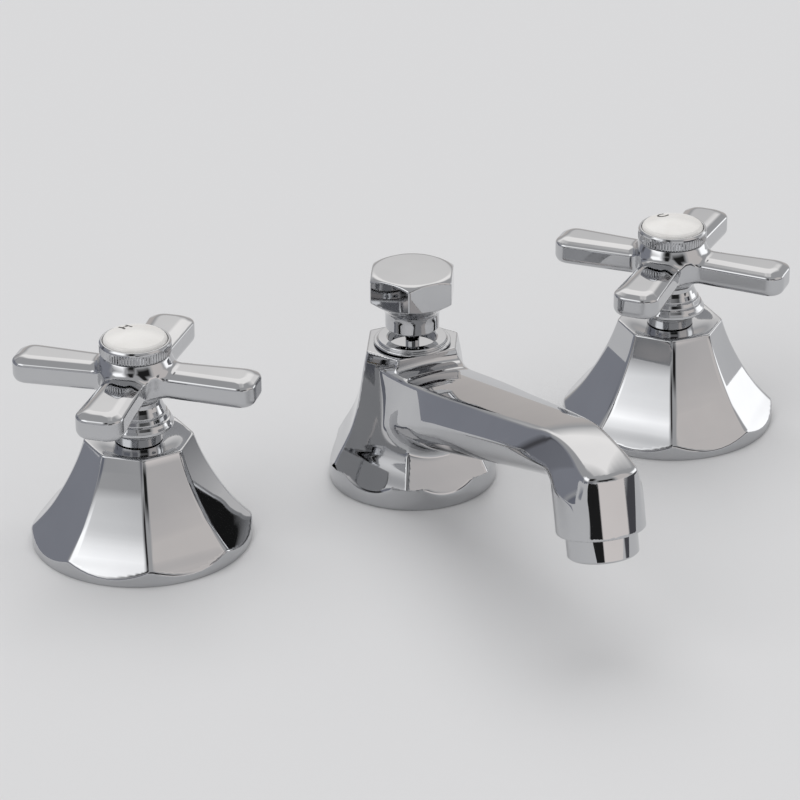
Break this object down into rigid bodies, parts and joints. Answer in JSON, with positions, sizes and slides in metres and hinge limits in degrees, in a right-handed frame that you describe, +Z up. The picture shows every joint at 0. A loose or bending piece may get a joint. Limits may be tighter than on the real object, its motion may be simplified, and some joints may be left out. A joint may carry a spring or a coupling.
{
  "type": "bathroom faucet",
  "caption": "Widespread bathroom faucet in chrome: cross-handle valves with porcelain index buttons on flared bases, a low faceted spout with a round nose, and a pop-up lift rod.",
  "frame": {"origin": "the spout's axis on the top of the worktop", "axes": "+Z up along the spout's axis, +X from the hot valve to the cold valve, -Y the way the spout points, towards the user"},
  "size_m": [0.2776, 0.1844, 0.2222],
  "materials": {
    "polished_chrome": "mirror-bright chrome plate over brass",
    "porcelain": "warm white glazed porcelain",
    "raw_brass": "as-machined yellow brass",
    "ceramic": "lapped alumina",
    "black_rubber": "matte black rubber",
    "steel": "stainless steel screw",
    "white_plastic": "moulded white plastic"
  },
  "bodies": {
    "root": {"hot_escutcheon": "polished_chrome", "hot_deck_gasket": "black_rubber", "hot_deck_nut": "raw_brass", "hot_bonnet": "polished_chrome", "hot_valve_body": "raw_brass", "hot_cartridge_body": "raw_brass", "hot_fixed_disc": "ceramic", "hot_seat_seal": "black_rubber", "hot_under_washer": "black_rubber", "hot_deck_washer": "raw_brass", "hot_locknut": "raw_brass", "cold_escutcheon": "polished_chrome", "cold_deck_gasket": "black_rubber", "cold_deck_nut": "raw_brass", "cold_bonnet": "polished_chrome", "cold_valve_body": "raw_brass", "cold_cartridge_body": "raw_brass", "cold_fixed_disc": "ceramic", "cold_seat_seal": "black_rubber", "cold_under_washer": "black_rubber", "cold_deck_washer": "raw_brass", "cold_locknut": "raw_brass", "spout_body": "polished_chrome", "lift_rod_guide": "polished_chrome", "aerator_housing": "polished_chrome", "aerator_insert": "white_plastic", "aerator_washer": "black_rubber", "spout_shank": "raw_brass", "rod_sleeve": "raw_brass", "spout_gasket": "black_rubber", "spout_under_washer": "black_rubber", "spout_deck_washer": "raw_brass", "spout_locknut": "raw_brass", "inlet_tee": "raw_brass"},
    "hot_handle": {"hot_cross_handle": "polished_chrome", "hot_handle_skirt": "polished_chrome", "hot_cap_ring": "polished_chrome", "hot_index_button": "porcelain", "hot_handle_screw": "steel", "hot_valve_stem": "raw_brass", "hot_turning_disc": "ceramic"},
    "cold_handle": {"cold_cross_handle": "polished_chrome", "cold_handle_skirt": "polished_chrome", "cold_cap_ring": "polished_chrome", "cold_index_button": "porcelain", "cold_handle_screw": "steel", "cold_valve_stem": "raw_brass", "cold_turning_disc": "ceramic"},
    "lift_rod": {"lift_knob": "polished_chrome", "lift_rod": "polished_chrome"}
  },
  "joints": [
    {"name": "hot_handle_turn", "type": "hinge", "parent": "root", "child": "hot_handle", "pos_m": [-0.1016, 0, 0.06], "axis": [0, 0, 1], "range_deg": [0, 90]},
    {"name": "cold_handle_turn", "type": "hinge", "parent": "root", "child": "cold_handle", "pos_m": [0.1016, 0, 0.06], "axis": [0, 0, 1], "range_deg": [-90, 0]},
    {"name": "lift_rod_slide", "type": "slide", "parent": "root", "child": "lift_rod", "axis": [0, 0, 1], "range_m": [-0.0035, 0.0165]}
  ]
}
